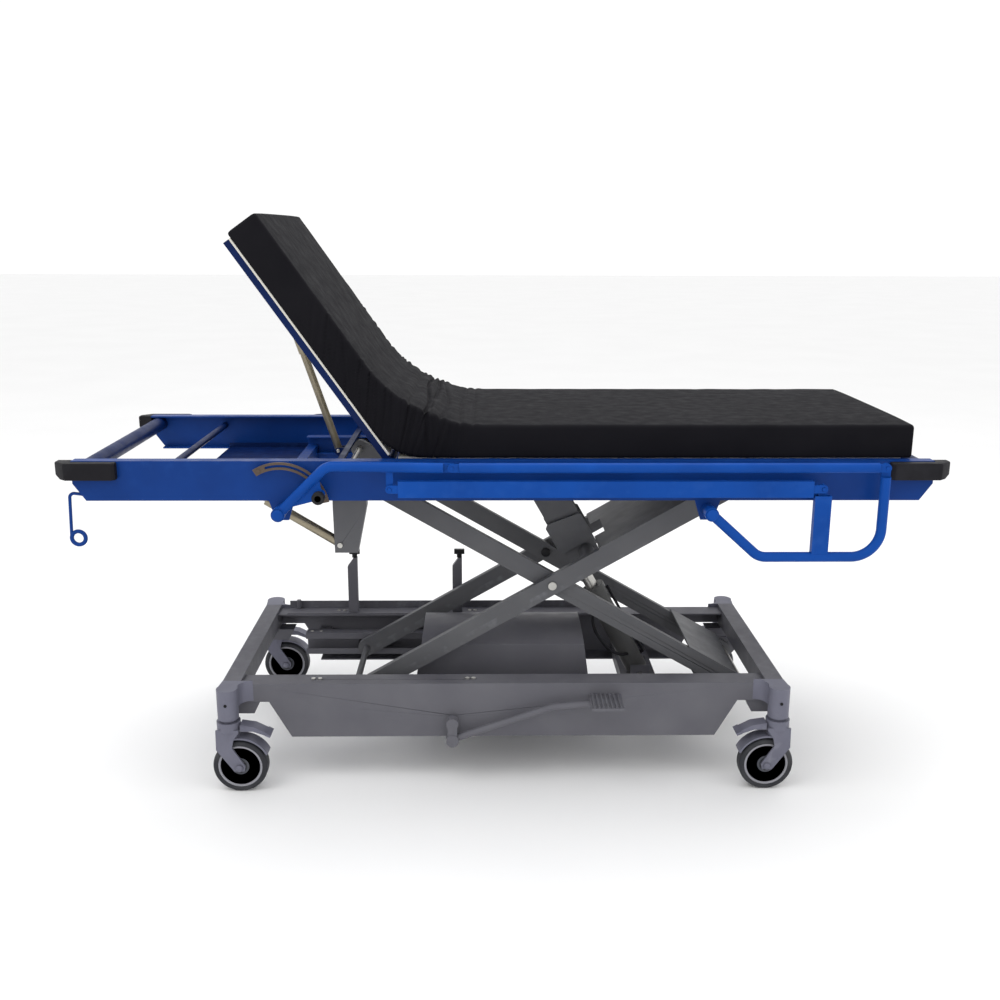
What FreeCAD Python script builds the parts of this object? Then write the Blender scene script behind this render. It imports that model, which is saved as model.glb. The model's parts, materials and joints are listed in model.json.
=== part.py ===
"""Height-adjustable stretcher trolley: scissor lift, tilting top, lifting backrest, folding side rails.

Frame: +Z up, +X towards the foot end, +Y towards the far side. The origin is on the floor,
below the centre of the top frame. All lengths are in millimetres, all angles in degrees.
"""
import FreeCAD, Part
import math
import os

Vector = FreeCAD.Vector
AXIS_X = Vector(1, 0, 0)
AXIS_Y = Vector(0, 1, 0)
AXIS_Z = Vector(0, 0, 1)
BOTH_SIDES = (-1, 1)

# ---- driving dimensions: casters ------------------------------------------------------------
WHEEL_RADIUS = 62.5
WHEEL_HALF_WIDTH = 16.0
CASTER_TRAIL = 24.0
CASTER_X = 632.0
CASTER_Y = 305.0
HOUSING_RADIUS = 24.0
HOUSING_BOTTOM = 178.0
CROWN_TOP = 172.0
STEM_RADIUS = 14.0

# ---- driving dimensions: base frame ---------------------------------------------------------
RAIL_OUTER_Y = 262.0
RAIL_FLANGE = 56.0
RAIL_TOP = 241.0
RAIL_END_BOTTOM = 196.5
RAIL_BOTTOM = 108.0
PLATE = 4.0
BEAM_INNER_X = 609.0
BEAM_OUTER_X = 651.0
BEAM_BOTTOM = 200.0
BEAM_TOP = 250.0

# ---- driving dimensions: scissor lift -------------------------------------------------------
ARM_LENGTH = 1104.0
ARM_ANGLE = 29.924
ARM_HEIGHT = 45.0
LIFT_PIVOT_X = 594.4
LIFT_PIVOT_Z = 169.5
INNER_ARM_Y = (119.0, 137.0)
OUTER_ARM_Y = (141.0, 159.0)
PIVOT_RADIUS = 10.0
AXLE_RADIUS = 8.0
RUNNING_GAP = 0.05
LOWER_ROLLER_RADIUS = 25.7
UPPER_ROLLER_RADIUS = 19.2

# ---- driving dimensions: lift cylinder (along and across the outer arm, from the crossing) ----
CYLINDER_FOOT_X = 351.0
CYLINDER_FOOT_Z = 165.0
LEVER_ALONG = 75.0
LEVER_ACROSS = 167.0
CYLINDER_RADIUS = 27.0
CYLINDER_LENGTH = 258.0
RAM_RADIUS = 15.0

# ---- driving dimensions: top frame ----------------------------------------------------------
FRAME_HALF_LENGTH = 937.0
FRAME_OUTER_Y = 305.0
FRAME_FLANGE = 28.0
FRAME_BOTTOM = 690.0
FRAME_TOP = 778.0
DECK_BOTTOM = 774.0
DECK_THICKNESS = 5.0
DECK_HALF_WIDTH = 262.0
BOARD_HALF_WIDTH = 274.0
MATTRESS_THICKNESS = 74.0
MATTRESS_HALF_WIDTH = 284.0
MATTRESS_FOOT_X = 896.0
END_TUBE_X = 918.0
REST_BAR_X = -745.0
REST_BAR_Z = 750.0
SOFT_GAP = 0.3
BUMPER_TIP_X = 972.0
BUMPER_OUTER_Y = 327.0

# ---- driving dimensions: backrest, stored raised ----------------------------------------------
BACKREST_ANGLE = 55.0
BACKREST_HINGE_X = -255.0
BACKREST_HINGE_Z = 764.0
BACKREST_HEAD_X = -833.0
BACKREST_TUBE = 14.0
SPRING_FOOT_X = -398.0
SPRING_FOOT_Z = 738.0
SPRING_HEAD_X = -685.0
SPRING_HEAD_Z = 744.0

# ---- driving dimensions: tilt of the top frame ----------------------------------------------
TILT_X = 640.0
TILT_RADIUS = 15.0
TILT_SPRING_Y = -212.0
TILT_FOOT_X = -374.0
TILT_FOOT_Z = 566.0
TILT_HEAD_X = -617.0
TILT_HEAD_Z = 716.0

# ---- driving dimensions: folding side rails, stored folded down -------------------------------
SIDE_Y = 348.0
SIDE_TUBE_RADIUS = 11.0
SIDE_PIVOT_HEAD_X = -487.0
SIDE_PIVOT_FOOT_X = 444.0
SIDE_PIVOT_Z = 671.0
TOP_LINK = (372.0, 101.0)
MIDDLE_LINK = (239.0, 55.0)
QUADRANT_RADIUS = 99.0
SLOT_HALF_WIDTH = 2.8
PIN_TIP_RADIUS = 2.5
PIN_ANGLE = 24.6
RAISED_ANGLE = 106.6

# ---- derived positions ----------------------------------------------------------------------
ARM_COS = math.cos(math.radians(ARM_ANGLE))
ARM_SIN = math.sin(math.radians(ARM_ANGLE))
ROLLER_X = LIFT_PIVOT_X - ARM_LENGTH * ARM_COS
UPPER_PIVOT_Z = LIFT_PIVOT_Z + ARM_LENGTH * ARM_SIN
CROSSING_X = (ROLLER_X + LIFT_PIVOT_X) / 2
CROSSING_Z = (LIFT_PIVOT_Z + UPPER_PIVOT_Z) / 2
DECK_TOP = DECK_BOTTOM + DECK_THICKNESS
WEB_INNER_Y = FRAME_OUTER_Y - PLATE

parts = {}


# ---- shape helpers --------------------------------------------------------------------------
def block(x, y, z):
    """Box between two limits on each axis."""
    return Part.makeBox(x[1] - x[0], y[1] - y[0], z[1] - z[0], Vector(x[0], y[0], z[0]))


def rod(start, end, radius):
    """Cylinder from one point to another."""
    first = Vector(*start)
    line = Vector(*end) - first
    return Part.makeCylinder(radius, line.Length, first, line)


def rod_y(x, z, y, radius):
    """Cylinder along Y at a point of the XZ plane."""
    return rod((x, y[0], z), (x, y[1], z), radius)


def sleeve_y(x, z, y, outer, bore):
    """Round sleeve along Y."""
    return rod_y(x, z, y, outer).cut(rod_y(x, z, y, bore))


def prism(points, direction):
    """Solid from a closed outline and an extrusion vector."""
    outline = [Vector(*point) for point in points]
    face = Part.Face(Part.makePolygon(outline + [outline[0]]))
    return face.extrude(direction)


def plate_xz(points, y):
    """Plate with an outline in the XZ plane, between two Y limits."""
    return prism([(px, y[0], pz) for px, pz in points], Vector(0, y[1] - y[0], 0))


def plate_xy(points, z):
    """Plate with an outline in the XY plane, between two Z limits."""
    return prism([(px, py, z[0]) for px, py in points], Vector(0, 0, z[1] - z[0]))


def joined(shapes):
    """One solid from overlapping or touching solids."""
    return shapes[0].fuse(shapes[1:]).removeSplitter()


def group(shapes):
    """Separate solids kept together in one node."""
    return Part.makeCompound(shapes)


def mirrored_y(shape):
    return shape.mirror(Vector(0, 0, 0), AXIS_Y)


def mirrored_x(shape):
    return shape.mirror(Vector(0, 0, 0), AXIS_X)


def on_side(shape, side):
    """A shape modelled on the +Y side, moved to the side asked for."""
    if side > 0:
        return shape
    return mirrored_y(shape)


def both_sides(shape):
    return [shape, mirrored_y(shape)]


def turned_y(shape, x, z, angle):
    """Turn about a Y axis; a positive angle lowers what lies on the +X side."""
    turned = shape.copy()
    turned.rotate(Vector(x, 0, z), AXIS_Y, angle)
    return turned


def rounded_path(points, radii):
    """Wire of straight runs with a tangent arc at each inner point."""
    corners = [Vector(*point) for point in points]
    edges = []
    start = corners[0]
    for index, radius in enumerate(radii, start=1):
        corner = corners[index]
        back = (corners[index - 1] - corner).normalize()
        ahead = (corners[index + 1] - corner).normalize()
        half_turn = (math.pi - back.getAngle(ahead)) / 2
        reach = radius * math.tan(half_turn)
        entry = corner + back * reach
        leave = corner + ahead * reach
        bisector = (back + ahead).normalize()
        centre = corner + bisector * (radius / math.cos(half_turn))
        middle = centre - bisector * radius
        edges.append(Part.LineSegment(start, entry).toShape())
        edges.append(Part.Arc(entry, middle, leave).toShape())
        start = leave
    edges.append(Part.LineSegment(start, corners[-1]).toShape())
    return Part.Wire(edges)


def swept(path, radius):
    """Round bar along a wire."""
    start = path.Edges[0]
    direction = start.tangentAt(start.FirstParameter)
    circle = Part.Wire(Part.makeCircle(radius, path.Vertexes[0].Point, direction))
    return path.makePipeShell([circle], True, False)


def bent_tube(points, radii, radius, wall):
    """Hollow round tube along straight runs and arcs."""
    path = rounded_path(points, radii)
    return swept(path, radius).cut(swept(path, radius - wall))


def square_tube(x, y, z, wall, along):
    """Rectangular tube, hollow along one axis."""
    limits = [list(x), list(y), list(z)]
    inner = [[low + wall, high - wall] for low, high in limits]
    inner[along] = limits[along]
    return block(*limits).cut(block(*inner))


def round_bar_along(start, end, low, high, radius):
    """Cylinder on the line between two points, between two distances from its start."""
    first = Vector(*start)
    unit = (Vector(*end) - first).normalize()
    return Part.makeCylinder(radius, high - low, first + unit * low, unit)


# ---- casters --------------------------------------------------------------------------------
CORNERS = {
    "head_near": (-1, -1),
    "head_far": (-1, 1),
    "foot_near": (1, -1),
    "foot_far": (1, 1),
}


def caster_placed(shape, x_side, y_side):
    """A caster part modelled at the origin and trailing to +X, moved to its corner."""
    placed = shape
    if x_side > 0:
        placed = mirrored_x(shape)
    placed = placed.copy()
    placed.translate(Vector(x_side * CASTER_X, y_side * CASTER_Y, 0))
    return placed


def caster_fork():
    """Stem, crown, two legs, wheel guard and axle bolt."""
    leg_y = (18.5, 23.5)
    crown = rod((0, 0, 150), (0, 0, CROWN_TOP), 27)
    neck = rod((0, 0, CROWN_TOP), (0, 0, HOUSING_BOTTOM - 2), 18)
    stem = rod((0, 0, HOUSING_BOTTOM - 2), (0, 0, 236), STEM_RADIUS)
    outline = [(-26, 156), (-27, 108), (12, 54), (35, 54), (38, 66), (9, 112), (14, 134), (26, 150), (26, 156)]
    leg = plate_xz(outline, leg_y)
    guard_ring = sleeve_y(CASTER_TRAIL, WHEEL_RADIUS, (-18.5, 18.5), 72, 68)
    guard_sector = plate_xz([(24, 62.5), (8, 160), (60, 160), (110, 104)], (-20, 20))
    guard = guard_ring.common(guard_sector)
    cap = rod((0, 0, 130), (0, 0, 150), 24)
    casting = joined([crown, neck, stem, cap] + both_sides(leg) + [guard])
    wheel_room = rod_y(CASTER_TRAIL, WHEEL_RADIUS, (-18, 18), 67)
    axle = rod_y(CASTER_TRAIL, WHEEL_RADIUS, (-25.5, 25.5), 6)
    casting = casting.cut(wheel_room).cut(axle)
    return group([casting, axle])


def caster_wheel():
    """Wheel centre with hub, and its tyre."""
    x, z = CASTER_TRAIL, WHEEL_RADIUS
    disc = rod_y(x, z, (-9, 9), 47)
    rim = sleeve_y(x, z, (-13, 13), 51, 44)
    hub = rod_y(x, z, (-17.5, 17.5), 15)
    core = joined([disc, rim, hub]).cut(rod_y(x, z, (-18, 18), 6 + RUNNING_GAP))
    tyre = sleeve_y(x, z, (-WHEEL_HALF_WIDTH, WHEEL_HALF_WIDTH), WHEEL_RADIUS, 51)
    outer_edges = [edge for edge in tyre.Edges if edge.BoundBox.XLength > 2 * WHEEL_RADIUS - 1]
    tyre = tyre.makeFillet(6, outer_edges)
    return group([core, tyre])


def caster_brake():
    """Foot lever of the wheel brake, hinged at the crown."""
    arm = plate_xz([(28, 166), (60, 161), (99, 141), (96, 136), (57, 150), (28, 150)], (-16, 16))
    tip = plate_xz([(88, 147), (99, 141), (96, 136), (84, 141)], (-19, 19))
    return joined([arm, tip, rod_y(34, 157, (-17, 17), 6)])


def make_casters():
    fork = caster_fork()
    wheel = caster_wheel()
    brake = caster_brake()
    for corner, (x_side, y_side) in CORNERS.items():
        parts[f"caster_{corner}_fork"] = caster_placed(fork, x_side, y_side)
        parts[f"caster_{corner}_wheel"] = caster_placed(wheel, x_side, y_side)
        parts[f"caster_{corner}_brake"] = caster_placed(brake, x_side, y_side)


# ---- base frame -----------------------------------------------------------------------------
SCREW_X = (-446.0, -430.5, -85.5, -71.0)
SCREW_Y = 234.0
PEDAL_X = -120.0
PEDAL_Z = 153.0


def base_rail():
    """Deep channel rail with raised ends, open towards the inside."""
    end_x, shoulder_x, bottom_x = BEAM_INNER_X, 547.0, 497.0
    outline = [
        (-end_x, RAIL_TOP), (end_x, RAIL_TOP), (end_x, RAIL_END_BOTTOM), (shoulder_x, RAIL_END_BOTTOM),
        (bottom_x, RAIL_BOTTOM), (-bottom_x, RAIL_BOTTOM), (-shoulder_x, RAIL_END_BOTTOM),
        (-end_x, RAIL_END_BOTTOM),
    ]
    inner_y = RAIL_OUTER_Y - RAIL_FLANGE
    web = plate_xz(outline, (RAIL_OUTER_Y - PLATE, RAIL_OUTER_Y))
    top = block((-end_x, end_x), (inner_y, RAIL_OUTER_Y), (RAIL_TOP - PLATE, RAIL_TOP))
    bottom = block((-bottom_x, bottom_x), (inner_y, RAIL_OUTER_Y), (RAIL_BOTTOM, RAIL_BOTTOM + PLATE))
    rail = joined([web, top, bottom])
    for x in SCREW_X:
        rail = rail.cut(rod((x, SCREW_Y, 230), (x, SCREW_Y, 250), 3.3))
    return rail


def screw(x, y):
    """Socket screw through the top flange, with its nut below."""
    head = rod((x, y, RAIL_TOP), (x, y, RAIL_TOP + 3), 5)
    shank = rod((x, y, RAIL_TOP - 12), (x, y, RAIL_TOP), 3)
    nut = rod((x, y, RAIL_TOP - PLATE - 5), (x, y, RAIL_TOP - PLATE), 5.5)
    return joined([head, shank, nut])


def cross_beam():
    """End beam of the base with the deep gussets below the rail ends (foot end)."""
    inner_y = RAIL_OUTER_Y
    beam = square_tube((BEAM_INNER_X, BEAM_OUTER_X), (-inner_y, inner_y), (BEAM_BOTTOM, BEAM_TOP), 3, 1)
    outline = [(651, 200), (651, 165), (583, 165), (568, 196), (609, 196), (609, 200)]
    gusset = plate_xz(outline, (212, 256))
    return joined([beam] + both_sides(gusset))


def caster_housing():
    """Cast corner socket with a flared web to the rail end (foot end, far side)."""
    x, y = CASTER_X, CASTER_Y
    socket = rod((x, y, HOUSING_BOTTOM), (x, y, BEAM_TOP), HOUSING_RADIUS)
    flare_start = Vector(582, RAIL_OUTER_Y, BEAM_BOTTOM)
    flare_middle = Vector(603, 272, BEAM_BOTTOM)
    flare_end = Vector(610, 297, BEAM_BOTTOM)
    corners = [flare_end, Vector(x, 306, BEAM_BOTTOM), Vector(655, 306, BEAM_BOTTOM)]
    corners = corners + [Vector(BEAM_OUTER_X, RAIL_OUTER_Y, BEAM_BOTTOM), flare_start]
    edges = [Part.Arc(flare_start, flare_middle, flare_end).toShape()]
    for first, second in zip(corners, corners[1:]):
        edges.append(Part.LineSegment(first, second).toShape())
    web = Part.Face(Part.Wire(edges)).extrude(Vector(0, 0, BEAM_TOP - BEAM_BOTTOM))
    casting = joined([socket, web])
    return casting.cut(rod((x, y, HOUSING_BOTTOM - 1), (x, y, 238), STEM_RADIUS + RUNNING_GAP))


def roller_track():
    """Lipped channel that guides a lower roller, on stand-off blocks."""
    x = (-530, -200)
    middle = LIFT_PIVOT_Z
    back = block(x, (200, 204), (middle - 30, middle + 30))
    walls = [block(x, (172, 204), (middle + sign * 28 - 2, middle + sign * 28 + 2)) for sign in BOTH_SIDES]
    lips = [block(x, (172, 175), (middle + 13.5, middle + 28)), block(x, (172, 175), (middle - 28, middle - 13.5))]
    stand_offs = [block((px, px + 30), (204, 258), (middle - 20, middle + 20)) for px in (-500, -260)]
    return joined([back] + walls + lips + stand_offs)


def lift_bracket_base():
    """Hanging plate that holds the fixed end of the inner arms (foot end)."""
    outline = [(568, 148), (622, 148), (645, 175), (645, 200), (609, 200), (609, 199), (568, 199)]
    plate = plate_xz(outline, (139.5, 147.5))
    return plate.cut(rod_y(LIFT_PIVOT_X, LIFT_PIVOT_Z, (139, 148), PIVOT_RADIUS))


def cylinder_beam():
    """Transverse tube between the rails with the clevis for the lift cylinder."""
    inner_y = RAIL_OUTER_Y - PLATE
    bottom = RAIL_BOTTOM + PLATE
    beam = square_tube((310, 400), (-inner_y, inner_y), (bottom, 142), 3, 1)
    ear = block((CYLINDER_FOOT_X - 24, CYLINDER_FOOT_X + 24), (31, 37), (142, 190))
    ear = ear.cut(rod_y(CYLINDER_FOOT_X, CYLINDER_FOOT_Z, (30, 38), AXLE_RADIUS))
    return joined([beam] + both_sides(ear))


def pump_outline(inset):
    """Half-round hood section in the YZ plane, at one X, as corner points and a crown height."""
    return 112 - inset, 278 - inset * 0.6, 306 - inset


def pump_hood_solid(inset):
    """Solid of the pump cover's outer or inner shape, with sloping ends."""
    half, shoulder, crown = pump_outline(inset)
    floor = 115.0
    left, right = -222 + inset, 222 - inset
    corners = [Vector(left, -half, shoulder), Vector(left, -half, floor)]
    corners = corners + [Vector(left, half, floor), Vector(left, half, shoulder)]
    edges = [Part.LineSegment(a, b).toShape() for a, b in zip(corners, corners[1:])]
    edges.append(Part.Arc(corners[3], Vector(left, 0, crown), corners[0]).toShape())
    solid = Part.Face(Part.Wire(edges)).extrude(Vector(right - left, 0, 0))
    slope = 28.0
    ends = [(left, floor), (left + slope, 320), (right - slope, 320), (right, floor)]
    return solid.common(plate_xz(ends, (-half - 1, half + 1)))


def pump_cover():
    """Thin folded cover over the hydraulic pump, open below."""
    wall = 2.5
    lowered = pump_hood_solid(wall)
    lowered.translate(Vector(0, 0, -wall))
    shell = pump_hood_solid(0).cut(lowered)
    shell = shell.cut(block((-230, 230), (-109, 109), (110, 118)))
    return shell.cut(rod_y(PEDAL_X, PEDAL_Z, (-120, -100), 11))


def pump_body():
    """Reservoir and pump block inside the cover."""
    tank = block((-60, 120), (-60, 60), (115, 205))
    barrel = rod((-150, 0, 160), (-60, 0, 160), 30)
    head = block((-172, -90), (-45, 45), (125, 195))
    return joined([tank, barrel, head]).cut(rod_y(PEDAL_X, PEDAL_Z, (-46, 10), 8 + RUNNING_GAP))


def pump_pedal():
    """Cross shaft, crank, bent lever and ribbed foot plate."""
    shaft = rod_y(PEDAL_X, PEDAL_Z, (-296, 5), 8)
    crank = block((PEDAL_X - 11, PEDAL_X + 11), (-296, -274), (112, PEDAL_Z))
    crank = joined([crank, rod_y(PEDAL_X, PEDAL_Z, (-296, -274), 14), rod_y(PEDAL_X, 112, (-298, -272), 15)])
    lever = swept(rounded_path([(PEDAL_X, -285, 112), (112, -285, 192), (262, -285, 205)], [60]), 8)
    pad = block((198, 272), (-342, -262), (207, 213))
    ribs = [block((x, x + 4), (-340, -264), (213, 216)) for x in range(203, 268, 10)]
    saddle = block((210, 262), (-294, -276), (203, 208))
    return joined([shaft, crank, lever, pad, saddle] + ribs)


def bottle_holder():
    """Gas bottle tray on the far rail with two upright posts."""
    floor = block((-585, 240), (210, RAIL_OUTER_Y), (RAIL_TOP, RAIL_TOP + 2))
    lip = block((-585, 240), (RAIL_OUTER_Y - 2, RAIL_OUTER_Y), (RAIL_TOP, 262))
    stud = rod((-558, 250, RAIL_TOP), (-558, 250, 268), 6)
    posts = []
    for x in (-404, -119):
        outline = [(x - 13, RAIL_TOP), (x + 13, RAIL_TOP), (x + 13, 398), (x + 4, 398), (x - 13, 374)]
        post = plate_xz(outline, (219, 237))
        arm = plate_xz([(x - 9, 330), (x + 9, 330), (x + 9, 350), (x - 9, 350)], (237, 255))
        posts.append(joined([post, arm]))
    tray = joined([floor, lip, stud] + posts)
    for x in SCREW_X:
        tray = tray.cut(rod((x, SCREW_Y, 230), (x, SCREW_Y, 250), 5.3))
    return tray


def bottle_knob(x):
    """Wing knob on top of a bottle post."""
    boss = rod((x + 6, 228, 398.3), (x + 6, 228, 410), 7)
    wing = block((x - 8, x + 20), (223, 233), (408, 421))
    return joined([boss, wing])


def make_base():
    rail = base_rail()
    near_web = (-RAIL_OUTER_Y - 1, -RAIL_OUTER_Y + PLATE + 1)
    near_rail = mirrored_y(rail).cut(rod_y(PEDAL_X, PEDAL_Z, near_web, 8 + RUNNING_GAP))
    parts["base_rails"] = group([near_rail, rail])
    beam = cross_beam()
    parts["base_beam_foot"] = joined([beam] + both_sides(lift_bracket_base()))
    parts["base_beam_head"] = mirrored_x(beam)
    far_housings = [caster_housing(), mirrored_x(caster_housing())]
    parts["caster_housings"] = group(far_housings + [mirrored_y(shape) for shape in far_housings])
    parts["roller_tracks"] = group(both_sides(roller_track()))
    shaft_y = OUTER_ARM_Y[0] + 6.5
    shafts = [
        rod_y(LIFT_PIVOT_X, LIFT_PIVOT_Z, (-shaft_y, shaft_y), PIVOT_RADIUS),
        rod_y(CYLINDER_FOOT_X, CYLINDER_FOOT_Z, (-41, 41), AXLE_RADIUS),
    ]
    screws = [screw(x, side * SCREW_Y) for x in SCREW_X for side in BOTH_SIDES]
    parts["base_fasteners"] = group(shafts + screws)
    pan_z = (RAIL_BOTTOM + PLATE, RAIL_BOTTOM + PLATE + 3)
    pan = block((-225, 225), (PLATE - RAIL_OUTER_Y, RAIL_OUTER_Y - PLATE), pan_z)
    parts["base_crossers"] = group([cylinder_beam(), pan])
    parts["pump_cover"] = pump_cover()
    parts["pump_body"] = pump_body()
    parts["pump_pedal"] = pump_pedal()
    parts["bottle_holder"] = bottle_holder()
    parts["bottle_knob_head"] = bottle_knob(-404)
    parts["bottle_knob_foot"] = bottle_knob(-119)


# ---- scissor lift ---------------------------------------------------------------------------
def arm_blank(y, bores):
    """Flat arm lying along +X from the crossing, with rounded ends."""
    half = ARM_LENGTH / 2
    bar = block((-half, half), y, (-ARM_HEIGHT / 2, ARM_HEIGHT / 2))
    ends = [rod_y(sign * half, 0, y, ARM_HEIGHT / 2) for sign in BOTH_SIDES]
    arm = joined([bar] + ends)
    for x, radius in bores:
        arm = arm.cut(rod_y(x, 0, (y[0] - 1, y[1] + 1), radius))
    return arm


def arm_placed(shape, rising):
    """An arm part modelled along +X, set at the lift angle about the crossing."""
    placed = shape.copy()
    placed.translate(Vector(CROSSING_X, 0, CROSSING_Z))
    angle = -ARM_ANGLE if rising else ARM_ANGLE
    return turned_y(placed, CROSSING_X, CROSSING_Z, angle)


def lift_lever():
    """Upright box lever on the outer arms that the ram pushes, with its torsion tubes."""
    cheek = plate_xz([(54, -20), (134, -20), (134, 176), (118, 188), (64, 188), (54, 176)], (34, 40))
    doubler = plate_xz([(45, 24), (138, 24), (138, 90), (132, 96), (54, 108), (45, 100)], (46, 52))
    tube = rod_y(105, 0, (40, OUTER_ARM_Y[0]), 18)
    spacer = block((48, 135), (40, 46), (40, 80))
    side = joined([cheek, doubler, tube, spacer])
    return both_sides(side)


def make_scissor():
    half = ARM_LENGTH / 2
    pin_bore = PIVOT_RADIUS + RUNNING_GAP
    inner = arm_blank(INNER_ARM_Y, [(0, PIVOT_RADIUS), (half, pin_bore), (-half, AXLE_RADIUS)])
    outer = arm_blank(OUTER_ARM_Y, [(0, pin_bore), (half, pin_bore), (-half, AXLE_RADIUS)])
    top = ARM_HEIGHT / 2
    inner_plate = block((375, 518), (-INNER_ARM_Y[1], INNER_ARM_Y[1]), (top, top + 4))
    outer_plate = block((140, 500), (-OUTER_ARM_Y[1], OUTER_ARM_Y[1]), (top, top + 4))
    outer_plate = outer_plate.cut(block((139, 168), (-56, 56), (top - 1, top + 5)))
    parts["inner_arms"] = group([arm_placed(shape, False) for shape in both_sides(inner) + [inner_plate]])
    lower_axle = rod_y(ROLLER_X, LIFT_PIVOT_Z, (-199, 199), AXLE_RADIUS)
    outer_shapes = [arm_placed(shape, True) for shape in both_sides(outer) + [outer_plate]]
    parts["outer_arms"] = group(outer_shapes + [lower_axle])
    parts["lift_lever"] = group([arm_placed(side, True) for side in lift_lever()])
    pin_y = (INNER_ARM_Y[0] - 3, OUTER_ARM_Y[1] + 4)
    pins = both_sides(rod_y(CROSSING_X, CROSSING_Z, pin_y, PIVOT_RADIUS))
    parts["inner_arm_pins"] = group(pins + [rod_y(ROLLER_X, UPPER_PIVOT_Z, (-189, 189), AXLE_RADIUS)])
    bore = AXLE_RADIUS + RUNNING_GAP
    lower_roller = sleeve_y(ROLLER_X, LIFT_PIVOT_Z, (177, 198), LOWER_ROLLER_RADIUS, bore)
    upper_roller = sleeve_y(ROLLER_X, UPPER_PIVOT_Z, (168, 188), UPPER_ROLLER_RADIUS, bore)
    parts["lower_rollers"] = group(both_sides(lower_roller))
    parts["upper_rollers"] = group(both_sides(upper_roller))


def make_lift_cylinder():
    foot = (CYLINDER_FOOT_X, 0, CYLINDER_FOOT_Z)
    head_x = CROSSING_X + LEVER_ALONG * ARM_COS - LEVER_ACROSS * ARM_SIN
    head_z = CROSSING_Z + LEVER_ALONG * ARM_SIN + LEVER_ACROSS * ARM_COS
    head = (head_x, 0, head_z)
    reach = (Vector(*head) - Vector(*foot)).Length
    eye = rod_y(foot[0], foot[2], (-29, 29), 20)
    barrel = round_bar_along(foot, head, 5, CYLINDER_LENGTH, CYLINDER_RADIUS)
    gland = round_bar_along(foot, head, CYLINDER_LENGTH - 30, CYLINDER_LENGTH, CYLINDER_RADIUS + 3)
    body = joined([eye, barrel, gland])
    body = body.cut(round_bar_along(foot, head, 38, CYLINDER_LENGTH - 14, 20))
    body = body.cut(round_bar_along(foot, head, 38, CYLINDER_LENGTH + 1, RAM_RADIUS + RUNNING_GAP))
    parts["lift_cylinder"] = body.cut(rod_y(foot[0], foot[2], (-30, 30), AXLE_RADIUS + RUNNING_GAP))
    piston = round_bar_along(foot, head, 122, 137, 20 - RUNNING_GAP)
    ram = round_bar_along(foot, head, 122, reach, RAM_RADIUS)
    ram_head = rod_y(head[0], head[2], (-22, 22), 21)
    stubs = rod_y(head[0], head[2], (-33, 33), 9)
    parts["lift_ram"] = joined([piston, ram, ram_head, stubs])
    unit = (Vector(*head) - Vector(*foot)).normalize()
    across = Vector(unit.z, 0, -unit.x)
    low = Vector(*foot) + unit * 40 + across * (CYLINDER_RADIUS - 1)
    high = Vector(*foot) + unit * (CYLINDER_LENGTH - 20) + across * (CYLINDER_RADIUS - 1)
    points = [tuple(low), tuple(low + across * 9), tuple(high + across * 9), tuple(high)]
    pipe = swept(rounded_path(points, [5, 5]), 3.5).cut(body)
    ports = ((235.6, -25.0, 375.5), (320.0, -23.2, 217.6))
    hose_points = [ports[0], (222, -58, 345), (228, -64, 290), (286, -58, 222), ports[1]]
    hose = swept(rounded_path(hose_points, [14, 30, 30]), 4).cut(body)
    parts["lift_pipes"] = group([pipe, hose])


# ---- subframe between the scissor and the top frame -------------------------------------------
def make_subframe():
    low, high = UPPER_PIVOT_Z - 22.5, UPPER_PIVOT_Z + 22.5
    x = (-505, 672)
    wall = 3
    web = block(x, (190, 193), (low - 20, high))
    flanges = [block(x, (163, 193), (low, low + wall)), block(x, (163, 193), (high - wall, high))]
    bearing = block((574, 668), (161, 190), (low + wall, high - wall))
    rail = joined([web] + flanges + [bearing])
    rail = rail.cut(rod_y(TILT_X, UPPER_PIVOT_Z, (150, 200), TILT_RADIUS + RUNNING_GAP))
    rail = rail.cut(rod_y(LIFT_PIVOT_X, UPPER_PIVOT_Z, (150, 200), PIVOT_RADIUS))
    beam = square_tube((-505, -480), (-190, 190), (low - 18, high - 24), 3, 1)
    pin = rod_y(LIFT_PIVOT_X, UPPER_PIVOT_Z, (OUTER_ARM_Y[0] - 2, 196), PIVOT_RADIUS)
    outline = [(-388, high), (-312, high), (-312, 655), (-334, 548), (-386, 548), (-388, 655)]
    cheeks = [plate_xz(outline, (-228, -225)), plate_xz(outline, (-199, -193))]
    spine = [(-312, high), (-312, 655), (-334, 548), (-337, 548), (-315, 655), (-315, high)]
    leg = joined(cheeks + [plate_xz(spine, (-228, -193))])
    leg = leg.cut(rod_y(TILT_FOOT_X, TILT_FOOT_Z, (-230, -190), 6))
    parts["subframe"] = joined(both_sides(rail) + [beam, leg])
    foot_pin = rod_y(TILT_FOOT_X, TILT_FOOT_Z, (-231, -191), 6)
    parts["subframe_pins"] = group(both_sides(pin) + [foot_pin])


def gas_spring(foot, head, body_length, rod_start, body_radius, rod_radius, bores, shroud=None):
    """Body and rod of a gas spring, each with its eye; the eyes turn about Y."""
    y = foot[1]
    reach = (Vector(*head) - Vector(*foot)).Length
    body = joined([
        rod_y(foot[0], foot[2], (y - 7, y + 7), body_radius),
        round_bar_along(foot, head, 3, body_length, body_radius),
    ])
    body = body.cut(round_bar_along(foot, head, 18, body_length + 1, rod_radius + RUNNING_GAP))
    body = body.cut(rod_y(foot[0], foot[2], (y - 12, y + 12), bores + RUNNING_GAP))
    stem = joined([
        round_bar_along(foot, head, rod_start, reach, rod_radius),
        rod_y(head[0], head[2], (y - 6, y + 6), body_radius),
    ])
    if shroud:
        start, outer = shroud
        sleeve = round_bar_along(foot, head, start, reach - 14, outer)
        bore = round_bar_along(foot, head, start - 1, reach - 20, body_radius + RUNNING_GAP)
        stem = joined([stem, sleeve.cut(bore)])
    return body, stem


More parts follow.
